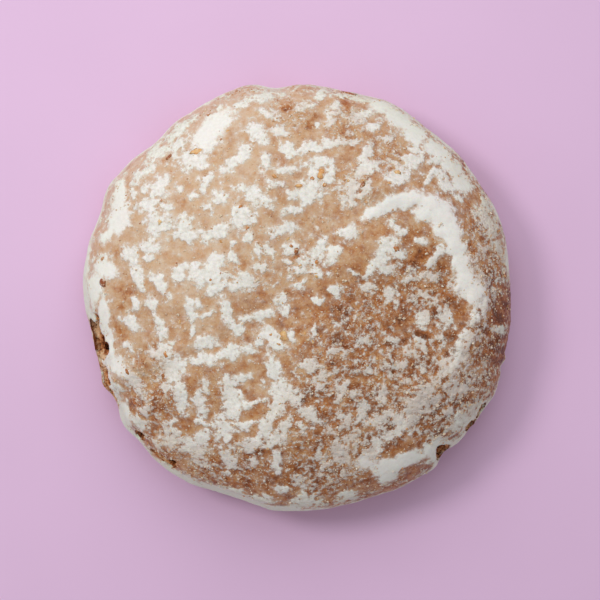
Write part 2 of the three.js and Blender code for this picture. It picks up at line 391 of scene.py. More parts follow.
whitePatches["runs"] = [
    (13.6, 31.6, 3.6, 1.8, -20), (16.6, 29.6, 5.6, 3.2, -40), (19.2, 27.2, 4, 3, -50),
    (23, 24.4, 4.6, 2.4, -35), (25.4, 21.4, 4.4, 2.2, -40), (26.8, 19.2, 4.2, 2.4, -52),
    (11.2, -26.9, 3.8, 1.7, 15), (14.9, -27.3, 6, 2.6, 4), (18.4, -26.1, 5, 2.4, 12),
    (22.4, -24.6, 4.6, 2.5, 30), (14.8, -29, 2.6, 1.8, 0), (-28.3, -18.4, 4.8, 1.9, -65),
    (-13.8, 28.1, 8, 3.4, 47), (-30.7, -7.4, 5.4, 1.1, -85), (-29.4, -10.8, 4, 2.2, -42),
    (-31.4, -2.8, 6.4, 1.3, -80), (-29.2, 17, 5.2, 1.9, 85), (-29.3, 13, 5, 3.2, 75),
    (-31.2, 10.6, 3, 1.5, 55), (-31.4, 5, 3.8, 2.8, -30), (-33.2, 1.6, 5, 2.2, 85),
]
whitePatches["front left"] = [
    (-27.3, -3.9, 4, 2.6, -42), (-26.8, -0.4, 3.2, 1.6, -60), (-27.8, -7.4, 2.2, 1.4, -40),
    (-26.8, -13.3, 5.4, 2.1, -52), (-29.4, -14.4, 2.4, 1.1, -35), (-25.8, -20.5, 3.6, 1.9, -55),
    (-25, -18.2, 1.4, 2, 0), (-23.8, -0.8, 3.4, 1.8, -70), (-22.5, -4.6, 5.4, 1.9, -70),
    (-21.5, -8.6, 4.4, 2.6, -75), (-20.4, -11.5, 4.8, 4.2, -64), (-21.7, -14.3, 1.8, 1.4, 0),
    (-20.3, -7, 2.2, 1.1, 30), (-19.2, -15.6, 6.2, 2.3, -80), (-23.6, -9, 2.6, 1.1, -20),
    (-17.5, -2.2, 5, 1.8, -80), (-16.4, -0.8, 2, 1.1, -70), (-17.2, -5.4, 2.8, 1.2, 78),
    (-14.5, -2.5, 2.6, 0.9, 40), (-11.8, -1.8, 6.2, 2.2, -75), (-10.1, -4.7, 3.6, 2.1, -52),
    (-15.2, -7.1, 4, 3.2, 20), (-14.8, -9.9, 6.6, 2.4, 5), (-10.9, -8.7, 6.6, 2.8, 15),
    (-6.6, -2.7, 6.8, 1.6, 15), (-4.9, -5.9, 4, 2.8, -25), (-6.1, -7.3, 1.7, 1.3, 0),
    (-3, -7.5, 3.8, 1.7, -20), (-0.9, -6, 1.4, 2.2, 20), (-2, -2, 2.2, 1.5, 80), (-10.8, -15, 5.6, 4, -80),
    (-10.8, -17.8, 4.2, 2.9, -65), (-7.4, -17.2, 4, 1.1, 25), (-8.8, -12.8, 2.8, 1.1, 10),
    (-15.1, -14.3, 2.8, 1.2, -80), (-15.9, -17.4, 4.8, 2.3, -80), (-15.7, -20.2, 2.6, 1.3, -10),
    (-4, -11.2, 4.6, 2.4, -75), (-2.6, -14.8, 5.2, 3.3, -10), (-3.4, -17.2, 4.4, 3, 60),
    (-5, -20.3, 5.8, 2.4, 72), (-1.4, -16.2, 4.2, 1.8, 10), (-12.1, -20.7, 4.4, 2.7, -25),
    (-13, -22.4, 1.6, 1.5, 0), (-11.6, -23, 2.4, 1.6, -60), (-8.3, -20.5, 4.6, 1.2, 5),
    (-2.2, -20.8, 3, 1.8, 40), (-7.3, -23.7, 6.2, 2.8, 10), (-3.6, -23, 4, 2.2, 30),
    (-20.9, -20.3, 2.4, 0.9, 30), (-20.2, -22.8, 4.4, 3.2, -20), (-17, -24.2, 5.4, 2.6, -20),
    (-15.6, -22.6, 3.4, 1.6, 30), (-15.8, -26.2, 3.2, 1.2, -35), (-11.1, -26.4, 4.8, 2, -60),
    (-11.8, -28.4, 2.2, 0.9, 10), (-7.2, -26.7, 1.4, 1.8, 0), (-3.5, -26.4, 4.4, 1.9, 75),
    (-6, -32.8, 4.6, 1.8, -5), (-10.2, -31.7, 4.4, 1.7, -20), (-2.6, -30.9, 3.4, 1.2, -10),
    (-24, -16.4, 1.4, 0.9, 20), (-22.8, -23.8, 1.8, 0.9, -40),
]
whitePatches["front right"] = [
    (1.4, -32.9, 5.6, 2.8, 5), (2.6, -5.2, 2.8, 0.9, 85), (2, -10.9, 4.2, 2.3, 20), (4, -13.2, 4.2, 1.6, 68),
    (2, -18.9, 5.2, 2.2, -32), (0.3, -20.8, 2.2, 1.4, 0), (5.8, -8.4, 1.8, 1.1, 10), (11, -6.4, 2, 1.2, 30),
    (15.6, -6.4, 2, 1.1, 0), (18.6, -8.6, 1.8, 1.2, 0), (20.5, -7.5, 3, 1.3, -60),
    (20.8, -3.3, 2.8, 2.3, 30), (24.3, -3.1, 3.2, 2.2, 80), (23.2, -6.1, 1.6, 1.1, 40),
    (11.3, -11.8, 2.8, 1.3, 10), (16.6, -10.8, 2.8, 1.5, 30), (20.4, -11.6, 1, 1.8, 0),
    (7.4, -15.2, 4.2, 1.2, 55), (6.2, -14.8, 2.2, 1, 20), (9.4, -15.4, 2.2, 1, 20),
    (14.1, -15.4, 2.8, 1.2, 75), (17.8, -13.4, 1.6, 0.9, 0), (19.8, -17.4, 5.4, 3.2, 52),
    (22.4, -17, 3.8, 1.8, 60), (17.8, -19.9, 6, 3.3, 40), (15.2, -18.6, 3, 1.8, 30),
    (15.8, -21.9, 4.8, 2.2, 30), (13.6, -20.6, 3, 2, 40), (10.7, -18.6, 2.8, 1.1, 60),
    (8.7, -19.3, 2.4, 0.9, 70), (6.9, -19, 2.4, 0.8, -70), (21.6, -15, 3.8, 1.8, 50),
    (12.4, -24.8, 4.8, 2.4, 50), (6.9, -25.4, 4, 2.4, -40), (7.8, -21, 4.4, 1.5, 38),
    (12.4, -19.8, 2.6, 1.8, 40), (9.6, -22.6, 2.6, 1.2, 70), (26.2, -14.4, 4.2, 2.4, 10),
    (26.4, -20, 5.6, 2.2, 50), (8.3, -32.1, 3.6, 1.5, 10), (33.4, -4.9, 2.4, 1.4, 20),
    (4.4, -27.6, 1.8, 0.9, 30), (24.6, -18.4, 1.8, 1, 40), (7.2, -28.8, 0.9, 2, 0), (28.6, -18, 3, 1.2, 50),
    (2.2, -30.6, 2.2, 0.9, 10), (0.4, -29.8, 2.2, 1.2, 0), (3.4, -25.6, 1.8, 1.1, 30),
]

# White patches on the side: angle, height, length, width, heading of its length from level.
whiteSide = [
    (118, 7.6, 16, 4.2, 0), (132, 7.6, 18, 4.2, 0), (146, 7.6, 16, 4.2, 0), (160, 7.8, 14, 4.6, 0),
    (171, 8.5, 9, 7, 0), (179, 8.5, 9, 9, 0), (184, 5, 9, 4, 0), (196, 3.8, 12, 2.2, 0),
    (215.5, 8, 4.5, 11, 10), (220, 7, 8, 7.4, 0), (226, 7, 8, 6.4, 0), (233, 7.6, 9, 7.6, 0),
    (240, 8.6, 9, 7.4, 0), (248, 9.2, 10, 8, 0), (257, 9.6, 10, 7, 0), (266, 9.2, 9, 7.4, 0),
    (275, 8, 10, 5, 0), (285, 7.2, 10, 4.2, 0), (294, 7.2, 9, 4, 0), (302, 7, 8, 4.2, 0),
    (308.6, 7.8, 5, 5, 0), (313, 12.6, 4, 2.4, 0), (318.5, 8.8, 5, 5, 0), (325, 12.2, 5, 2.2, 10),
    (332, 7.8, 8, 3.4, 0), (341, 8, 6, 2.4, 0), (345, 5, 6, 2, 0), (10, 9.4, 7, 6, 0), (23, 9.2, 7, 3.4, 10),
    (36, 9, 5, 4.4, 0), (47, 9.2, 8, 5, 0), (58, 8.2, 7, 3.8, 0), (70, 8, 6, 3, 0), (84, 7.4, 5, 3, 0),
    (97, 8.8, 6, 2.6, 0), (107, 7, 6, 2.4, 10), (165, 3.2, 10, 1.8, 5), (20, 4, 7, 2.6, 20),
    (52, 3.4, 11, 2, 0), (84, 3.8, 8, 2.4, -10), (110, 3.6, 8, 1.6, 0), (140, 3, 8, 1.6, 0),
    (350, 3, 8, 1.8, 10),
]

# Where the glaze is thin or gone and the gingerbread shows brown: x, y, length, width, heading, how brown.
brownPlaces = [
    (-1.8, 31.4, 4.4, 2.4, 0, 0.7), (2.2, 28.6, 4, 1.8, 62, 1), (0.8, 27.6, 6, 3, 10, 0.45),
    (7.6, 28, 5, 2.6, 0, 0.5), (8, 31.8, 3.4, 1.2, -60, 0.8), (14.8, 24.2, 5.4, 4.2, 0, 0.35),
    (27.2, 22.2, 2.6, 1.3, -45, 1), (28.4, 17.2, 5.6, 1.8, -65, 0.35), (-28.4, 1.6, 4.4, 3, 0, 0.65),
    (-28.6, -0.8, 3.2, 2.4, 0, 0.75), (-28.8, -5.2, 4.4, 2.2, -60, 0.75), (-31.9, 2.1, 0.9, 0.9, 0, 0.7),
    (-32.6, 0.9, 1, 0.7, 0, 0.7), (10.4, 8, 7.4, 3.4, 45, 0.5), (9.4, 5.6, 5.4, 2.4, 10, 0.55),
    (20, 7.2, 4.2, 3.6, 10, 0.8), (24.6, 5.8, 3.4, 3, -10, 0.8), (18.4, 10.4, 2.8, 1.5, 65, 0.9),
    (22.4, 1.2, 8.6, 3, -15, 0.7), (16.2, -3.4, 5, 2.8, -20, 0.9), (18.6, 1.8, 4, 2.2, 30, 0.7),
    (26.6, -1.4, 4.2, 2, 60, 0.9), (20.8, -5.7, 2.6, 1.4, -10, 0.9), (11, -3.2, 9, 4, -20, 0.4),
    (18.4, -12, 5.4, 3.4, 40, 0.55), (10, -14, 5.4, 2.6, 20, 0.5), (22.8, 9.8, 3, 1.4, 20, 0.7),
    (3.2, 3.2, 5.4, 1.8, 20, 0.3), (4.6, -18.2, 3.8, 3, -60, 0.45), (11.2, -21, 3.8, 2, 60, 0.5),
    (15.6, -24.8, 5, 1.8, 20, 0.6), (18.4, -28.2, 4.4, 1.8, 30, 0.6), (14.8, -31.2, 4.6, 1.3, 20, 0.7),
    (-24.4, -12, 8, 3.6, -70, 0.5), (-22.4, -17.4, 5, 3.4, -45, 0.6), (-21.6, -26, 5.4, 1.4, -30, 1),
    (-18, -27.2, 4.6, 1.6, -25, 0.6), (-14, -25.6, 3.2, 4.6, 20, 0.5), (-27, -17.4, 1.2, 2.2, 10, 0.8),
    (-10.2, -28.6, 3.6, 1.8, 0, 0.6), (-5, -31, 4.4, 2.2, -20, 0.5), (-1.4, -28.4, 3.6, 3, 0, 0.35),
    (33, -1.8, 5.4, 4, 80, 1.15), (32.6, -8.6, 6.4, 3.4, 110, 1.15), (30.6, -7, 3.6, 2.2, 60, 0.5),
    (8, 0.4, 1.6, 1.6, 0, 0.6), (0.1, 7.2, 1, 0.9, 0, 0.9), (3.2, 5.7, 1, 0.8, 0, 0.8),
    (16.3, 8, 1.1, 0.8, 50, 0.9), (10.7, 18.1, 1.2, 0.6, 30, 1), (-6, 10.4, 1.2, 0.9, 0, 0.7),
    (-2, -6.1, 1.4, 1.2, 0, 0.3),
]

# Broad places where the clear glaze is a little darker: x, y, length, width, heading, how much.
warmPlaces = [
    (-26, -3, 14, 16, 0, 0.08), (-20, -18, 18, 16, 0, 0.04), (5, -3, 12, 10, 0, 0.03),
    (20, 4, 12, 14, 0, 0.07), (10, -5, 24, 14, -10, 0.15), (21, -8, 18, 20, 0, 0.18),
    (-2, -28, 26, 9, 0, 0.15), (20, -21, 22, 16, 45, 0.17), (-24, -19, 10, 14, -45, 0.22),
    (32, -4, 6, 18, 0, 0.28), (9, -17, 20, 16, 0, 0.14), (8, 25, 30, 15, 0, 0.08),
]

# The same as brownPlaces on the side: angle, height, length, width, heading, how brown.
brownSide = [
    (0, 9, 4, 7, 0, 1), (355, 9.4, 3, 6, 0, 0.8), (346.5, 8.6, 7, 7.6, 0, 1), (338, 10, 4.6, 4.6, 0, 0.7),
    (29.3, 8.6, 1.6, 1.6, 0, 1), (21.9, 8.8, 2, 1.6, 0, 1), (76.8, 9, 2, 1.4, 0, 1),
    (4.3, 8.8, 1.2, 2, 0, 0.9), (38, 9.6, 3, 2.6, 0, 0.7), (195, 8.4, 14, 2.4, 0, 0.5),
    (250, 10, 6, 2, 0, 0.5), (300, 9.8, 6, 1.8, 0, 0.6), (90, 5.4, 6, 2.4, 0, 0.5),
    (130, 5, 7, 2.4, 10, 0.4), (60, 5.6, 7, 2, -10, 0.5),
]

# Where the sugar is broken into grains: x, y, radius, how much.
grainyPlaces = [
    (11, -13, 13, 0.75), (19.5, -13, 10, 0.9), (22, 1, 6, 0.8), (12, -2.5, 7, 0.55), (14.8, 24.2, 4, 0.5),
    (8, 28.4, 4, 0.8), (8, -24, 7, 0.9), (3, -27, 6, 0.8), (-24.5, -11.5, 5, 0.7), (-23, -17.5, 4.5, 0.7),
    (30.5, 12, 4.5, 0.7), (31, 6, 5, 0.9), (30.5, 1, 4, 0.8), (30.5, -8, 5, 0.9), (28, -15, 5, 0.9),
    (18.6, 3.4, 4.4, 0.5), (22, -20, 5, 0.8), (-14, -14, 4, 0.3), (9, 18.5, 4, 0.6), (-1.5, 30.5, 4, 0.6),
    (-4, 5, 5, 0.3), (-8, -27, 5, 0.5), (0, -20, 7, 0.4), (-21.5, -24.5, 4.5, 0.7), (-15, -27.5, 5, 0.7),
    (27, 21, 3, 0.8),
]

# How grainy the side is: angle, spread, how much.
grainySide = [
    (5, 42, 0.8), (60, 30, 0.8), (95, 20, 0.7), (335, 30, 0.8), (290, 22, 0.6), (250, 24, 0.5),
    (200, 16, 0.6),
]

glazeLook = {
    "edge": 0.28, "triangles": 168000,  # how fine its mesh is
    "thickness": 0.45,
    "base": 0.5,  # the foot of the glaze is nowhere thinner than this
    "bareRadius": 28.5, "bareWave": 1.8,  # the underside is bare within this, give or take the wave
    "window": 0.14,  # how finely the openings are cut
    "lip": 0.14,  # how far the cut edges stand up where they run along the openings
    "warp": 0.5,  # how far the patches' outlines wander
    "fineWarp": 0.35,
    "drawIn": 0.0045,  # how much the marks draw in for each millimetre the top bulges
    "shift": (-0.15, 0.4),
    "floor": -0.9,  # how far from white the clear glaze is between patches
    "scatter": 0.5,  # how strongly small patches and gaps break them up
    "scatterSize": 1.5,
    "grainySugar": 0.42,  # how much white the grainy places add
    "brownCover": 1.6,  # how strongly the brown places clear the white away
    "palest": 0.12, "browner": 0.34,  # the clear glaze at the back left, and how much more at the front right
    "raise": 0.12,  # how far the white sugar stands up, and the crest above that
    "crest": 0.24,
    "sink": 0.12,  # how far the brown places lie lower
    "foot": 0.35,  # how far the glaze spreads at the foot of the side
    "swells": [(0.14, 6.5, 11), (0.07, 2.4, 12)],  # how high, in lumps how big, and their seed
    "grit": 0.09, "gritSize": 0.75,
    # how steep the edges of the smooth thick groups are, and how full they are
    "solid": {
        "crest": (0.9, 0.25), "crest foot": (0.95, 0), "runs": (1, 0.2), "back left": (1.25, -0.08),
        "front left": (1.25, -0.04),
    },
}


def outOf(u, v, mark):
    # 0 in the middle of a mark, 1 on its outline and more outside, squared
    cu, cv, length, width, heading = mark[:5]
    c, s = math.cos(math.radians(heading)), math.sin(math.radians(heading))
    along = ((u - cu) * c + (v - cv) * s) * 2 / length
    across = ((v - cv) * c - (u - cu) * s) * 2 / width
    return along**2 + across**2


def spread(u, v, marks):
    # more than nought inside the nearest mark, 0 on its outline and down to -1 outside
    return np.maximum(np.max([1.15 - 1.15 * np.sqrt(outOf(u, v, mark)) for mark in marks], axis=0), -1)


def strongest(u, v, marks):
    # how strong the marks are at a place, each fading out round its outline
    return np.max([mark[5] * ease(1.9, 0.1, outOf(u, v, mark)) for mark in marks], axis=0)


def onSide(points, marks, field):
    # a field of marks laid round the side, where x runs along the edge and y is the height
    best = -np.inf
    for angle, *mark in marks:
        best = np.maximum(best, field(alongRim(angle, angleOf(points)), points[:, 2], [(0, *mark)]))
    return best


def glazeFields(points):
    # what the glaze is like at each point
    wander = wandering(points, 2.6, (3, 4)) * glazeLook["warp"]
    wander += wandering(points, 0.9, (5, 6)) * glazeLook["fineWarp"]
    z = points[:, 2]
    bulge = np.maximum(z - 9, 0)
    flat = points[:, :2] * (1 + glazeLook["drawIn"] * bulge)[:, None] + np.array(glazeLook["shift"])
    x, y = (flat + wander).T
    shifted = points + np.concatenate([wander, wander[:, :1]], axis=1)
    top, side = ease(7, 9.5, z), ease(13.5, 11, z)

    marks = {name: spread(x, y, rows) for name, rows in whitePatches.items()}
    full = {name: glazeLook["solid"].get(name, (1.2, 0)) for name in marks}
    onTop = np.max([mark * full[name][0] + full[name][1] for name, mark in marks.items()], axis=0)
    onEdge = onSide(shifted, whiteSide, spread) - 2 * (1 - side)
    white = np.maximum(onTop - 2 * (1 - top), onEdge)
    thick = np.maximum(np.maximum(marks["crest"], marks["runs"]) - 2 * (1 - top), onEdge)
    smooth = ease(-0.5, 0.3, thick)
    crest = np.maximum(marks["crest"], 0.7 * marks["crest foot"] - 0.3)
    scatter = lumps(points, glazeLook["scatterSize"], 4, 7)
    sugar = np.maximum(white, glazeLook["floor"]) + glazeLook["scatter"] * (1 - 0.6 * smooth) * scatter

    breaks = 0.8 + 0.5 * scatter + 0.4 * lumps(points, 0.8, 2, 9)
    brownTop = np.clip(strongest(x, y, brownPlaces) * top * breaks, 0, 1.5)
    brownEdge = np.clip(onSide(shifted, brownSide, strongest) * side * breaks, 0, 1)
    brown = np.maximum(brownTop, brownEdge)
    grainy = np.zeros(len(points))
    for gx, gy, radius, strength in grainyPlaces:
        away = np.hypot(flat[:, 0] - gx, flat[:, 1] - gy) / radius
        grainy = np.maximum(grainy, strength * ease(1.1, 0.5, away + 0.25 * scatter))
    for at, width, strength in grainySide:
        away = np.abs(turnFrom(at, angleOf(points))) / width
        grainy = np.maximum(grainy, strength * side * ease(1.2, 0.4, away + 0.2 * scatter))

    # the clear glaze is palest at the back left and browner towards the front right
    across = (points[:, 0] - points[:, 1]) / math.sqrt(2)
    tone = glazeLook["palest"] + glazeLook["browner"] * ease(-22, 16, across) + 0.06 * lumps(points, 5, 3, 8)
    tone += strongest(*flat.T, warmPlaces)
    tone = np.maximum(tone, np.maximum(0.62 * brownTop, 0.92 * brownEdge)) + 0.03 * grainy
    sugar += glazeLook["grainySugar"] * grainy * (1 - smooth)
    sugar = sugar - glazeLook["brownCover"] * np.clip(brown - 0.25, 0, 1) * (white < 0.35)
    return {
        "sugar": np.clip(sugar, -1.5, 1.5), "tone": np.clip(tone, 0, 1), "grainy": np.clip(grainy, 0, 1),
        "smooth": smooth, "crest": ease(-0.6, 0.9, crest) * top,
    }


def reliefOf(points, fields):
    # how far the glaze stands out of the smooth skin
    z = points[:, 2]
    rise = glazeLook["raise"] * ease(-0.25, 0.45, fields["sugar"]) + glazeLook["crest"] * fields["crest"]
    for high, size, seed in glazeLook["swells"]:
        rise += high * lumps(points, size, 2, seed)
    grit = (0.02 + glazeLook["grit"] * fields["grainy"]) * (1 - 0.7 * fields["smooth"])
    rise += grit * lumps(points, glazeLook["gritSize"], 2, 13)
    rise -= glazeLook["sink"] * ease(0.4, 1, fields["tone"]) * ease(9, 12, z)
    rise += glazeLook["foot"] * (ease(4.5, 1, z) * ease(0.2, 0.9, z)) * (0.6 + lumps(points, 5, 2, 14))
    return np.maximum(rise, -glazeLook["sink"]) * ease(0, 0.6, z)


# how rough the torn hollows in the side are, and how deep their middles lie as a share of their reach
tornEdge = {"lumps": 0.16, "size": 1.1, "fine": 0.1, "fineSize": 0.4, "middle": 0.15}


def lumpyBall(scale, angle, centre, seed):
    # a torn hollow: a stretched ball with a rough surface
    points, faces = ballShape(4, 1)
    turn = Euler((0, 0, math.radians(angle))).to_matrix()
    torn = []
    for p in points:
        placed = turn @ Vector((p.x * scale[0], p.y * scale[1], p.z * scale[2])) + centre
        lump = noise.fractal(placed / tornEdge["size"] + Vector((seed, 0, 0)), 1.0, 2.0, 2)
        fine = noise.noise(placed / tornEdge["fineSize"])
        way = (placed - centre).normalized()
        torn.append(placed + way * (min(scale) * tornEdge["lumps"] * 2 * lump + tornEdge["fine"] * fine))
    return torn, faces


def cutterFor(places, name, grow, size):
    balls = []
    for index, (angle, z, wide, tall, deep) in enumerate(places):
        inwards = Vector((-math.cos(math.radians(angle)), -math.sin(math.radians(angle)), 0))
        centre = skinAtHeight(angle, z) + inwards * deep * tornEdge["middle"]
        scale = (deep + grow, wide / 2 + grow, tall / 2 + grow)
        balls.append(lumpyBall(scale, angle, centre, index * 5.3))
    return remesh(joined(name, balls), size)


def barePlate():
    # what is cut from under the glaze, inside a wavering line
    steps = 200
    turn = 2 * math.pi * np.arange(steps) / steps
    ring = np.stack([np.cos(turn), np.sin(turn)], axis=1)
    wave = lumps(np.column_stack([2.2 * ring, np.full(steps, 4)]), 1, 4)
    ring *= (glazeLook["bareRadius"] + glazeLook["bareWave"] * wave)[:, None]
    points = [(x, y, z) for z in (-1, 1.2) for x, y in ring]
    faces = [tuple(reversed(range(steps))), tuple(range(steps, 2 * steps))]
    faces += [(i, (i + 1) % steps, steps + (i + 1) % steps, steps + i) for i in range(steps)]
    return makeObject("plate", points, faces)


def roundLips(piece, tree, reach, times):
    # soften the cut edges as if the glaze had flowed
    shape = bmesh.new()
    shape.from_mesh(piece.data)
    near = [v for v in shape.verts if tree.find_nearest(v.co, reach)[0] is not None]
    for _ in range(times):
        axes = dict(use_axis_x=True, use_axis_y=True, use_axis_z=True)
        bmesh.ops.smooth_vert(shape, verts=near, factor=0.5, **axes)
    shape.to_mesh(piece.data)
    shape.free()


def makeGlaze():
    # a thin shell over the gingerbread, cut open where the side has opened
    glaze = evenSkin("glaze", glazeLook["edge"])
    points = pointsOf(glaze)
    movePoints(glaze, points + normalsOf(glaze) * reliefOf(points, glazeFields(points))[:, None])
    applied(glaze, "DECIMATE", ratio=min(1.0, glazeLook["triangles"] / triangleCount(glaze)))
    cutAway(glaze, barePlate())

    inside = skinBall("inside", 120, 60, glazeLook["thickness"])
    movePoints(inside, np.maximum(pointsOf(inside), (-np.inf, -np.inf, glazeLook["base"])))
    cutAway(glaze, inside)
    window = cutterFor(openings + glazeGaps, "window", 0, glazeLook["window"])
    lipTree = treeOf(window)
    cutAway(glaze, window)
    roundLips(glaze, lipTree, 0.3, 3)

    # the lips along the openings are thick and white, and the torn faces inside them brown
    points, normals = pointsOf(glaze), normalsOf(glaze)
    fields = glazeFields(points)
    lip = np.array([lipTree.find_nearest(Vector(p), 3.0)[3] or 9 for p in points])
    angle = angleOf(points) % 360
    along = ease(183, 187, angle) * ease(216, 211, angle) + ease(305, 310, angle)
    near = ease(1, 0.35, lip + 0.5 * lumps(points, 1.2, 2, 15)) * ease(9, 11.5, points[:, 2]) * along
    outwards = (normals * (points - heart)).sum(axis=1) / fromHeart(points)[1]
    cutWall = ease(0.5, 0.15, outwards) * ease(0.9, 0.5, lip)
    below = ease(0.22, 0.34, depthUnderSkin(points)) * ease(1.6, 1, lip)
    inner = np.maximum(below, cutWall) * ease(0.7, 0.2, normals[:, 2])
    movePoints(glaze, points + normals * (glazeLook["lip"] * near * (1 - inner))[:, None])
    roundLips(glaze, lipTree, 0.35, 3)
    paint(glaze, "sugar", np.clip(fields["sugar"] + 2 * near - 3 * inner, -1.5, 1.5))
    paint(glaze, "tone", np.clip(fields["tone"] + 0.6 * inner, 0, 1))
    paint(glaze, "grainy", fields["grainy"])
    paint(glaze, "smooth", np.maximum(fields["smooth"], near))
    return glaze


# the gingerbread under the glaze
crumbLook = {
    "edge": 0.5, "fine": 0.16,  # how fine its mesh is, and how finely the hollows are cut
    "inset": 0.36, "grow": 0.22,  # how far it lies under the glaze's skin, and how much wider the hollows are
    "rough": 0.4, "fineRough": 0.12,
    "pore": 0.9, "poreDepth": 0.45, "finePore": 0.45, "finePoreDepth": 0.2,
    "basePore": 3.1, "smallBasePore": 1.3, "basePoreDepth": 0.5,
    "stand": 0.55,  # how far the floor of a shallow gap swells back out
    "under": 0.16,  # and how far under the skin it stays
}

# Where the torn crumb is painted paler, as light on ledges that stand out, or darker when below nought, as
# shade in the pockets and holes: x, y, how far, how much.
crumbLightAndShade = [
    (-33.2, -5, 1.8, 0.8), (-32, -10.5, 1.4, 0.7), (-31.9, -3.2, 1, -0.7), (-31.5, -8, 1.5, -0.35),
    (-31, -13, 1.6, -0.45), (-30.1, -16, 1.2, -0.5), (-25.5, -22.6, 1.6, -1), (-23.2, -25.2, 1.4, -0.6),
    (-20.2, -27, 1.5, -0.7), (23.8, -25.3, 2.8, -0.55), (28.3, -20.8, 1.9, -0.4), (30.2, -18.4, 1.7, -0.8),
]


def poresOf(points, size):
    # 1 in the middle of a pore, down to 0 at its wall
    nearest = np.array([noise.voronoi(Vector(p) / size)[0][0] for p in points])
    return ease(0.55, 0.1, nearest)


def makeCrumb():
    crumb = evenSkin("crumb", crumbLook["edge"])
    points = pointsOf(crumb)
    x, y, z = points.T
    down = ease(1.5, 0.2, z) * ease(30.5, 28, np.hypot(x, y))
    points = ontoSkin(points, crumbLook["inset"] * (1 - down))
    points[:, 2] += 0.1 * down
    movePoints(crumb, points)
    bared = [(angle, z, wide + 0.6, tall + 0.6, 0.75) for angle, z, wide, tall, _ in glazeGaps]
    hollow = cutterFor(openings + bared, "hollow", crumbLook["grow"], crumbLook["fine"])
    tree = treeOf(hollow)
    cutAway(crumb, hollow)

    points, normals = pointsOf(crumb), normalsOf(crumb)
    near = [tree.find_nearest(Vector(p), 3.0)[3] for p in points]
    wall = np.array([away is not None and away < 0.03 for away in near])
    under = points[:, 2] < 0.5
    pores = poresOf(points, crumbLook["pore"])
    finePores = poresOf(points + 40, crumbLook["finePore"])
    rough = crumbLook["rough"] * lumps(points, 1.1, 4, 21) + crumbLook["fineRough"] * lumps(points, 0.4, 2, 24)
    shallow = ease(1.5, 0.7, depthUnderSkin(points))
    rise = rough + crumbLook["stand"] * shallow - crumbLook["poreDepth"] * pores
    rise -= crumbLook["finePoreDepth"] * finePores

    # the pores underneath are bent out of round and come in clusters
    bent = points + 0.45 * wandering(points, 1.4, (26, 27, 28))
    basePores = poresOf(bent + 90, crumbLook["basePore"]) * ease(-0.5, 0.4, lumps(points, 5, 2, 29))
    small = poresOf(bent + 50, crumbLook["smallBasePore"]) * ease(-0.1, 0.5, lumps(points, 3, 2, 30))
    basePores = np.maximum(basePores, 0.8 * small)
    lift = crumbLook["basePoreDepth"] * ease(0.3, 1, basePores) + 0.1 * (1 + lumps(points, 1.2, 3, 22))
    points = points + normals * np.where(wall, rise, 0)[:, None]
    limit = crumbLook["under"] + 0.25 * np.clip(lumps(points, 0.8, 2, 25), 0, 1)
    points = np.where(wall[:, None], keepUnder(points, limit), points)
    points[:, 2] += np.where(under, lift, 0)
    movePoints(crumb, points)
    # painted shade: the torn crumb is coloured darker the deeper it lies under the skin, and the places above
    # paint light and shade onto that
    deep = ease(0.5, 2.3, depthUnderSkin(points)) * wall
    for x, y, far, paler in crumbLightAndShade:
        away = np.hypot(points[:, 0] - x, points[:, 1] - y)
        deep = deep - paler * wall * ease(far, 0.35 * far, away)
    paint(crumb, "deep", deep)
    # the pores are painted on so that the material colours them darker, painted shade in their hollows
    paint(crumb, "pore", np.where(under, basePores, np.maximum(pores, finePores)))
    paint(crumb, "opened", wall.astype(float))
    return crumb


rng = np.random.default_rng(11)  # for the loose bits: sugar crystals, crumbs and peel


def crystalShape():
    # a little broken block
    corners = [(x, y, z) for z in (-1, 1) for y in (-1, 1) for x in (-1, 1)]
    stretch = rng.uniform(0.6, 1.3, 3)
    points = [Vector(c) * 0.5 + Vector(rng.normal(0, 0.17, 3)) for c in corners]
    points = [Vector((p.x * stretch[0], p.y * stretch[1], p.z * stretch[2])) for p in points]
    return points, [(0, 2, 3, 1), (4, 5, 7, 6), (0, 1, 5, 4), (2, 6, 7, 3), (0, 4, 6, 2), (1, 3, 7, 5)]


def crumbShape():
    # a rough rounded lump
    points, faces = ballShape(2, 0.5)
    seed = Vector(rng.uniform(0, 50, 3))
    return [p * (1 + 0.75 * noise.fractal(p * 3.2 + seed, 1.0, 2.0, 2)) for p in points], faces


def pickSpots(piece, weight, count):
    # random places on a mesh, more of them where the weight is greater
    faces = piece.data.polygons
    centres, normals = valuesOf(faces, "center"), valuesOf(faces, "normal")
    share = valuesOf(faces, "area", 1)[:, 0] * weight(centres)
    chosen = rng.choice(len(centres), count, p=share / share.sum())
    return [(centres[i], normals[i]) for i in chosen]


def scatterOn(name, piece, weight, makeShape, look):
    # little shapes strewn over a mesh and sunk into it by a share of their size
    spots = pickSpots(piece, weight, look["count"])
    sizes = rng.lognormal(math.log(look["size"]), look["vary"], len(spots)).clip(look["least"], look["most"])
    parts, kinds = [], []
    for (spot, normal), size in zip(spots, sizes):
        shape, faces = makeShape()
        turn = Euler(rng.uniform(0, 2 * math.pi, 3)).to_matrix()
        centre = Vector(spot) + Vector(normal) * size * (0.5 - look["sink"])
        parts.append(([centre + turn @ p * size for p in shape], faces))
        kinds.append(rng.random())
    return joined(name, parts, kinds)


sugarLook = {"count": 4500, "size": 0.17, "vary": 0.32, "least": 0.09, "most": 0.36, "sink": 0.6}


def makeSugarGrains(glaze):
    def weight(centres):
        fields = glazeFields(centres)
        outer = depthUnderSkin(centres) < 0.1
        return (0.25 + fields["grainy"]) * ease(9, 13, centres[:, 2]) * outer * (fields["sugar"] < 0.6)
    return scatterOn("sugarGrains", glaze, weight, crystalShape, sugarLook)


looseLook = {"count": 600, "size": 0.24, "vary": 0.35, "least": 0.12, "most": 0.5, "sink": 0.75}


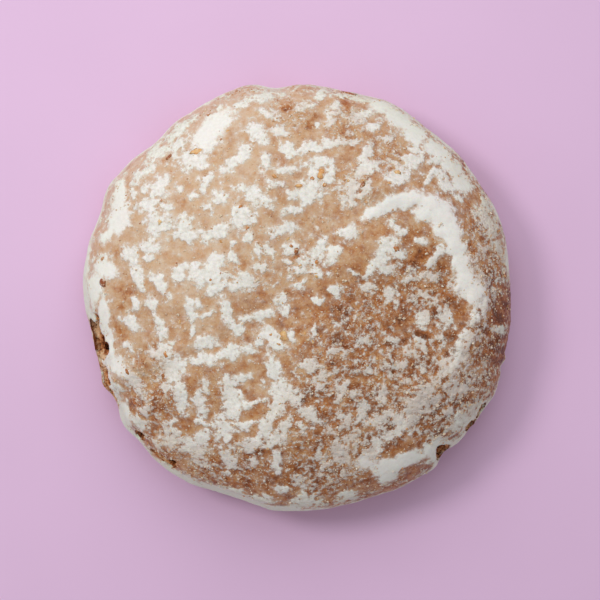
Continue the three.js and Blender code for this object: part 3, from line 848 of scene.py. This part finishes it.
def makeCrumbGrains(crumb):
    opened = np.empty(len(crumb.data.vertices), np.float32)
    crumb.data.attributes["opened"].data.foreach_get("value", opened)
    faceOpened = np.array([opened[list(p.vertices)].mean() for p in crumb.data.polygons])
    return scatterOn("crumbGrains", crumb, lambda c: faceOpened**2 * (c[:, 2] > 2), crumbShape, looseLook)


# Flecks of candied peel and caramel in the glaze: x, y, length, width, heading, how dark.
peelSpots = [
    (4, 20.2, 1.7, 1.1, 70, 0.35), (-16.2, 23.9, 2, 0.8, 5, 0.25), (16.5, 20.3, 1, 0.7, 20, 0.2),
    (19.5, 26.5, 1.3, 0.9, -20, 0.2), (0.5, 18, 0.8, 0.6, 30, 0.3), (-3.5, 19.5, 0.9, 0.5, -20, 0.5),
    (-21, 23.2, 1.1, 0.6, 10, 0.9), (-22.3, 12.2, 0.8, 0.7, 0, 0.1), (-2, -6.3, 1.3, 1.1, 20, 0.25),
    (4.6, 18.2, 0.7, 0.5, 60, 0.5), (2.6, 19.2, 0.6, 0.5, 0, 0.6), (16.2, 7.8, 0.8, 0.6, 40, 0.7),
    (10.7, 18.2, 1, 0.5, 30, 0.9), (-21.2, -9.4, 0.9, 0.5, 0, 0.5), (-9, 14.6, 0.6, 0.4, 30, 0.6),
    (-32, 2.3, 1.1, 0.9, 30, 1), (-32.8, 0.9, 0.9, 0.6, 60, 0.6), (-26.8, -17.4, 0.9, 0.8, 0, 0.9),
    (-27.8, -12.3, 0.7, 0.5, 0, 0.7), (-21.8, -13, 1.1, 0.5, -45, 0.8), (8.9, 34.2, 1.8, 0.8, -15, 0.9),
    (0, 7.4, 0.9, 0.6, 20, 0.9), (3.3, 5.6, 0.6, 0.5, 0, 0.6), (-0.8, 8.2, 0.5, 0.4, 0, 0.6),
]
fleckLook = {
    "swell": 1.25, "height": 0.4, "sink": 0.64, "drawIn": 0.965,
    "strays": 80, "strayLength": 0.4, "strayMiddle": (6, 6), "straySpread": 14,
    "rim": 32, "rimDark": 0.66,  # past this radius only flecks at least this dark
}


def strayFleck():
    spot = rng.normal(fleckLook["strayMiddle"], fleckLook["straySpread"], 2)
    length = fleckLook["strayLength"] * rng.lognormal(0, 0.3)
    return (*spot, length, length * rng.uniform(0.5, 0.9), rng.uniform(0, 180), rng.uniform(0.1, 0.65))


def makePeelFlecks(glaze):
    tree = treeOf(glaze)
    strays = [strayFleck() for _ in range(fleckLook["strays"])]
    swell = fleckLook["swell"]
    spots = [(x, y, length * swell, width * swell, *more) for x, y, length, width, *more in peelSpots]
    parts, kinds = [], []
    for x, y, length, width, heading, dark in spots + strays:
        shape, faces = crumbShape()
        above = Vector((x * fleckLook["drawIn"], y * fleckLook["drawIn"], 40))
        hit, normal, _, _ = tree.ray_cast(above, Vector((0, 0, -1)))
        if hit is None or (dark < fleckLook["rimDark"] and math.hypot(x, y) > fleckLook["rim"]):
            continue
        turn = normal.to_track_quat("Z", "Y").to_matrix() @ Matrix.Rotation(math.radians(heading), 3, "Z")
        scale = Vector((length, width, fleckLook["height"] * min(1, width)))
        centre = hit + normal * scale.z * (0.5 - fleckLook["sink"])
        parts.append(([centre + turn @ (p * scale) for p in shape], faces))
        kinds.append(dark)
    return joined("peelFlecks", parts, kinds)


class Wire:
    # what comes out of a shader node, to reckon with; wire["Name"] is another of the same node's outputs
    def __init__(self, tree, socket):
        self.tree = tree
        self.socket = socket

    def __getitem__(self, name):
        return Wire(self.tree, self.socket.node.outputs[name])

    def __add__(self, other):
        return calc("ADD", self, other)

    def __sub__(self, other):
        return calc("SUBTRACT", self, other)

    def __rsub__(self, other):
        return calc("SUBTRACT", other, self)

    def __mul__(self, other):
        return calc("MULTIPLY", self, other)


def tint(red, green, blue):
    # a colour from 0 to 255 a channel, as the shader wants it
    parts = [c / 255 for c in (red, green, blue)]
    return tuple(c / 12.92 if c <= 0.04045 else ((c + 0.055) / 1.055) ** 2.4 for c in parts) + (1,)


def put(tree, kind, values=None, **settings):
    # a new node with its settings, and its inputs set or wired
    node = tree.nodes.new(kind)
    for name, value in settings.items():
        setattr(node, name, value)
    for name, value in (values or {}).items():
        if isinstance(value, Wire):
            tree.links.new(value.socket, node.inputs[name])
        else:
            node.inputs[name].default_value = value
    return Wire(tree, node.outputs[0]) if node.outputs else None


def calc(operation, first, second):
    tree = first.tree if isinstance(first, Wire) else second.tree
    return put(tree, "ShaderNodeMath", {0: first, 1: second}, operation=operation)


def clamped(value):
    value.socket.node.use_clamp = True
    return value


def blend(share, first, second, mode="MIX"):
    second = second if isinstance(second, Wire) else tint(*second)
    values = {0: share, 6: first, 7: second}
    return put(first.tree, "ShaderNodeMix", values, data_type="RGBA", blend_type=mode)[2]


def step(value, low, high, start=0, end=1):
    values = {"Value": value, "From Min": low, "From Max": high, "To Min": start, "To Max": end}
    return put(value.tree, "ShaderNodeMapRange", values, interpolation_type="SMOOTHSTEP")


def ramp(value, stops):
    # each stop is a place from 0 to 1 and a colour
    wire = put(value.tree, "ShaderNodeValToRGB", {"Fac": value})
    elements = wire.socket.node.color_ramp.elements
    while len(elements) < len(stops):
        elements.new(0.5)
    for element, (place, *colour) in zip(elements, stops):
        element.position = place
        element.color = tint(*colour)
    return wire


def grainNoise(place, size, detail=3, roughness=0.55):
    # noise in lumps of a size in millimetres
    values = {"Vector": place, "Scale": 1 / (size * millimetre), "Detail": detail, "Roughness": roughness}
    return put(place.tree, "ShaderNodeTexNoise", values)["Fac"]


def shift(first, second, operation="ADD"):
    # one place or vector moved by another, or scaled
    values = {0: first, "Scale" if operation == "SCALE" else 1: second}
    return put(first.tree, "ShaderNodeVectorMath", values, operation=operation)


def painted(place, name):
    # what paint() put on the mesh
    return put(place.tree, "ShaderNodeAttribute", attribute_name=name)["Fac"]


def newMaterial(name):
    material = bpy.data.materials.new(name)
    material.use_nodes = True
    material.node_tree.nodes.clear()
    return material, put(material.node_tree, "ShaderNodeTexCoord")["Object"]


def finishMaterial(material, colour, finish, height=None, roughness=None):
    # height is what the bump stands out by, and roughness is given where it changes over the piece
    values = {
        "Base Color": colour, "Roughness": roughness or finish["roughness"],
        "Specular IOR Level": finish["specular"], "Subsurface Weight": finish["subsurface"],
        "Subsurface Radius": (1.0, 0.6, 0.35), "Subsurface Scale": 0.0008,
    }
    if height:
        strength, depth = finish["bump"]
        bump = {"Height": height, "Strength": strength, "Distance": depth}
        values["Normal"] = put(colour.tree, "ShaderNodeBump", bump)
    shader = put(colour.tree, "ShaderNodeBsdfPrincipled", values)
    put(colour.tree, "ShaderNodeOutputMaterial", {"Surface": shader})
    return material


def newGroup(name, inputs, outputs):
    # a node group with these sockets, and the wires that come into it
    group = bpy.data.node_groups.new(name, "ShaderNodeTree")
    for way, sockets in (("INPUT", inputs), ("OUTPUT", outputs)):
        for label, kind in sockets.items():
            group.interface.new_socket(label, in_out=way, socket_type="NodeSocket" + kind)
    return group, put(group, "NodeGroupInput")


# The colours of each finish are rows of red, green and blue from 0 to 255, most of them with their place from
# 0 to 1 first, and a bump is its strength and its depth in metres.

doughFinish = {
    "pale to dark": [
        (0, 208, 173, 137), (0.25, 196, 151, 110), (0.5, 177, 121, 79), (0.75, 149, 91, 54), (1, 105, 59, 32),
    ],
    "golden": (255, 230, 186),
    "grain": 0.4, "clouds": 3.2, "goldenSize": 2.3,
}


def makeDoughGroup():
    # baked gingerbread: brown with darker and lighter grain
    sockets = {"Place": "Vector", "Tone": "Float"}, {"Color": "Color", "Height": "Float"}
    group, given = newGroup("doughGrain", *sockets)
    place = given["Place"]
    fine = grainNoise(place, doughFinish["grain"], 4, 0.7)
    tone = given["Tone"] + (grainNoise(place, doughFinish["clouds"]) - 0.5) * 0.14
    tone = clamped(tone + (fine - 0.5) * 0.75)
    golden = grainNoise(place, doughFinish["goldenSize"], 4, 0.64)
    golden = step(golden, 0.4, 0.62) * step(tone, 0.05, 0.5, 0.3, 0.85)
    colour = blend(golden, ramp(tone, doughFinish["pale to dark"]), doughFinish["golden"], "MULTIPLY")
    put(group, "NodeGroupOutput", {"Color": colour, "Height": fine})
    return group


def makeCrystalGroup():
    # scattered sugar crystals: where they are and how orange each is
    sockets = {"Place": "Vector", "Size": "Float", "Share": "Float"}, {"Mask": "Float", "Warmth": "Float"}
    group, given = newGroup("sugarCrystals", *sockets)
    place = given["Place"]
    jitter = put(group, "ShaderNodeTexNoise", {"Vector": place, "Scale": 2.2 / millimetre, "Detail": 2})
    jitter = shift(jitter["Color"], (0.5, 0.5, 0.5), "SUBTRACT")
    moved = shift(place, shift(jitter, 0.9 * millimetre, "SCALE"))
    scale = calc("DIVIDE", 1 / millimetre, given["Size"])
    cells = put(group, "ShaderNodeTexVoronoi", {"Vector": moved, "Scale": scale})
    parts = put(group, "ShaderNodeSeparateColor", {"Color": cells["Color"]})
    chosen = calc("LESS_THAN", parts[0], given["Share"])
    dot = clamped((parts[1] * 0.22 + 0.16 - cells["Distance"]) * 9)
    put(group, "NodeGroupOutput", {"Mask": dot * chosen, "Warmth": parts[2]})
    return group


doughGroup = makeDoughGroup()
crystalGroup = makeCrystalGroup()


def doughGrain(place, tone):
    return put(place.tree, "ShaderNodeGroup", {"Place": place, "Tone": tone}, node_tree=doughGroup)


def crystals(place, size, share):
    values = {"Place": place, "Size": size, "Share": share}
    return put(place.tree, "ShaderNodeGroup", values, node_tree=crystalGroup)


glazeFinish = {
    "white": [(0.3, 220, 215, 205), (0.64, 247, 243, 237)],
    "purest": (246, 243, 238),
    # painted light: the tint put on the lower side against the pink light it catches from the floor
    "creamy": (244, 255, 240),
    "veil": (226, 213, 198),
    "crystals": [(0, 242, 234, 222), (0.66, 236, 216, 192), (0.9, 224, 170, 120), (1, 190, 112, 64)],
    "roughness": 0.44, "whiteRoughness": 0.24,  # the second is added where it is white
    "specular": 0.2, "subsurface": 0.12, "bump": (0.8, 0.00015),
}


def makeGlazeMaterial():
    material, place = newMaterial("sugarGlaze")
    sugar, tone, grainy, smooth = (painted(place, name) for name in ("sugar", "tone", "grainy", "smooth"))

    # the white sugar breaks up where it is grainy and keeps its shape where it is smooth
    ragged = 1 - smooth * 0.72
    edges = grainNoise(place, 1.2, 4, 0.66) - 0.5
    speckled = (grainNoise(place, 0.8, 3, 0.62) - 0.5) * (grainy * 7.2 + 1.9)
    value = sugar + (edges * 3.3 + speckled) * ragged
    white = step(value, step(grainy, 0.1, 0.8, -0.3, -0.4), step(grainy, 0.1, 0.8, 0.46, 0.64))
    white = white * (1 - grainy * ragged * 0.4)

    # a milky veil over the rest, thinner where the glaze is browner
    veil = step(value, -1.6, 0.3, 0.24, 0.62) * step(tone, 0.06, 0.5, 0.6, 0.12)
    veil = veil * step(grainNoise(place, 2.6, 4, 0.6), 0.3, 0.7, 0.6, 1.35)
    veil = veil + step(value, -0.9, 0, -0.04, 0.18)
    veil = clamped(veil + step(grainNoise(place, 0.32, 2, 0.6), 0.52, 0.72, 0, 0.26))

    # the gingerbread seen through it
    tone = clamped(tone + crystals(place, 0.8, grainy * 0.4) * 0.3)
    uneven = (grainNoise(place, 2, 4, 0.66) - 0.5) * step(tone, 0, 0.5, 1.1, 2.2)
    dough = doughGrain(place, clamped(tone + uneven))

    # the white is purest where smooth, and tinted greener down the side, a painted tint against the pink light
    # the floor throws onto the side
    mottle = grainNoise(place, 0.6, 3, 0.7)
    pale = blend(smooth * 0.65, ramp(mottle, glazeFinish["white"]), glazeFinish["purest"])
    # painted light: the lower side is tinted against the pink light that falls on it from the floor
    creamy = step(put(place.tree, "ShaderNodeSeparateXYZ", {"Vector": place})["Z"], 0.0175, 0.009)
    pale = blend(creamy, pale, glazeFinish["creamy"], "MULTIPLY")
    colour = blend(white, blend(veil, dough, glazeFinish["veil"]), pale)

    grains = crystals(place, 0.5, grainy * 0.25 + 0.14)
    glint = grains * (0.7 - white * 0.6) * ragged
    colour = blend(glint, colour, ramp(grains["Warmth"], glazeFinish["crystals"]))
    height = white * 0.55 + mottle * 0.45 + grains * 0.5 + speckled * 0.25 + dough["Height"] * 0.35
    roughness = white * glazeFinish["whiteRoughness"] + glazeFinish["roughness"]
    return finishMaterial(material, colour, glazeFinish, height * ragged, roughness)


crumbFinish = {
    "torn": [
        (0, 240, 204, 164), (0.22, 226, 164, 112), (0.5, 184, 110, 64), (0.75, 120, 66, 38), (1, 62, 33, 21),
    ],
    "roughness": 0.8, "specular": 0.15, "subsurface": 0.05, "bump": (0.8, 0.0003),
}


def makeCrumbMaterial():
    material, place = newMaterial("gingerbreadCrumb")
    pore, opened, deep = (painted(place, name) for name in ("pore", "opened", "deep"))
    blotch = (grainNoise(place, 4.5, 5, 0.62) - 0.5) * 1.4
    # the baked underside is coloured darker in its pores, painted shade in the hollows
    baked = doughGrain(place, clamped(pore * 0.45 + 0.5 + blotch))
    broad = grainNoise(place, 1.3, 3, 0.6) - 0.5
    fine = grainNoise(place, 0.34, 3, 0.6) - 0.5
    # the torn crumb is darker where it lies deep and in its pores, painted shade, over colour that wanders at
    # random
    torn = ramp(clamped(deep * 0.62 + pore * 0.3 + broad * 1.7 + fine - 0.1), crumbFinish["torn"])
    colour = blend(opened, baked, torn)
    return finishMaterial(material, colour, crumbFinish, baked["Height"])


sugarFinish = {
    "crystals": [(0, 232, 219, 202), (0.6, 224, 200, 172), (0.88, 208, 160, 114), (1, 176, 108, 64)],
    "cloudy": (210, 178, 144),
    "roughness": 0.35, "specular": 0.5, "subsurface": 0.2,
}


def makeGrainMaterial():
    material, place = newMaterial("sugarCrystal")
    cloud = step(grainNoise(place, 0.12, 2), 0.4, 0.7, 0, 0.35)
    colour = blend(cloud, ramp(painted(place, "kind"), sugarFinish["crystals"]), sugarFinish["cloudy"])
    return finishMaterial(material, colour, sugarFinish)


fleckFinish = {
    "peel": [(0, 236, 206, 156), (0.3, 228, 170, 108), (0.6, 204, 130, 70), (1, 150, 86, 48)],
    "sugared": (236, 222, 202),
    "roughness": 0.4, "specular": 0.35, "subsurface": 0.3, "bump": (0.6, 0.0001),
}


def makePeelMaterial():
    material, place = newMaterial("candiedPeel")
    cloud = grainNoise(place, 0.5) - 0.5
    colour = ramp(clamped(painted(place, "kind") + cloud * 0.8), fleckFinish["peel"])
    sugared = step(grainNoise(place, 0.3, 2), 0.5, 0.68, 0, 0.5)
    colour = blend(sugared, colour, fleckFinish["sugared"])
    return finishMaterial(material, colour, fleckFinish, cloud)


looseFinish = {
    "pale": (214, 146, 92), "share": 0.35,  # how much of the pale is mixed in
    "roughness": 0.8, "specular": 0.2, "subsurface": 0.08, "bump": (0.7, 0.0002),
}


def makeCrumbGrainMaterial():
    material, place = newMaterial("gingerbreadBits")
    dough = doughGrain(place, painted(place, "kind") * 0.6 + 0.1)
    colour = blend(looseFinish["share"], dough, looseFinish["pale"])
    return finishMaterial(material, colour, looseFinish, dough["Height"])


crumb = makeCrumb()
crumbGrains = makeCrumbGrains(crumb)
finishMesh(crumb, makeCrumbMaterial())
finishMesh(crumbGrains, makeCrumbGrainMaterial())
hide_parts("lebkuchen")
print("crumb made", triangleCount(crumb), triangleCount(crumbGrains))

glaze = makeGlaze()
sugarGrains = makeSugarGrains(glaze)
peelFlecks = makePeelFlecks(glaze)
finishMesh(glaze, makeGlazeMaterial())
finishMesh(peelFlecks, makePeelMaterial())
finishMesh(sugarGrains, makeGrainMaterial())
sugarGrains.data.shade_flat()
print("glaze made", triangleCount(glaze), triangleCount(sugarGrains), triangleCount(peelFlecks))

# the floor, the light and the camera
studio = {
    "floor": (232, 196, 231), "darker": 0.985, "cloud": 40,  # its colour, and how much darker in clouds how big
    "floorReach": 9, "floorFinish": {"roughness": 0.7, "specular": 0.2, "subsurface": 0},
    "room": (0.975, 0.99, 0.99, 1), "ambient": 0.4,
    # name, angle, elevation, distance and size in metres, strength, colour
    "lights": [
        ("keyLight", 154, 54, 0.42, 0.12, 0.50, (1, 0.985, 0.96)),
        ("panelLight", 92, 50, 0.34, 0.34, 0.445, (1, 1, 1)),
    ],
    # how wide the view is, and the place the camera looks straight down at
    "frameWidth": 97.8, "lens": 100.0, "sensor": 36, "shown": (0.57, -0.49, 9),
}


def addLight(name, angle, elevation, distance, size, power, colour):
    light = bpy.data.lights.new(name, "AREA")
    light.shape = "DISK"
    light.size = size
    light.energy = power
    light.color = colour
    thing = newObject(name, light)
    a, e = math.radians(angle), math.radians(elevation)
    thing.location = Vector((math.cos(a) * math.cos(e), math.sin(a) * math.cos(e), math.sin(e))) * distance
    thing.rotation_euler = (-thing.location).to_track_quat("-Z", "Y").to_euler()


def makeStudio():
    corners = np.array([(-1, -1, 0), (1, -1, 0), (1, 1, 0), (-1, 1, 0)]) * studio["floorReach"]
    floor = makeObject("floor", corners, [(0, 1, 2, 3)])
    material, place = newMaterial("paleFloor")
    darker = [c * studio["darker"] for c in studio["floor"]]
    colour = ramp(grainNoise(place, studio["cloud"], 2), [(0.3, *darker), (0.7, *studio["floor"])])
    floor.data.materials.append(finishMaterial(material, colour, studio["floorFinish"]))

    for light in studio["lights"]:
        addLight(*light)
    world = bpy.data.worlds.new("room")
    bpy.context.scene.world = world
    world.use_nodes = True
    background = world.node_tree.nodes["Background"]
    background.inputs["Color"].default_value = studio["room"]
    background.inputs["Strength"].default_value = studio["ambient"]

    camera = bpy.data.cameras.new("camera")
    camera.lens = studio["lens"]
    camera.sensor_width = studio["sensor"]
    camera.clip_start = 0.01
    holder = newObject("camera", camera)
    x, y, z = (c * millimetre for c in studio["shown"])
    distance = studio["frameWidth"] * millimetre * camera.lens / camera.sensor_width
    holder.location = (x, y, z + distance)
    bpy.context.scene.camera = holder
    bpy.context.scene.view_settings.view_transform = "Standard"


makeStudio()
print("studio made")
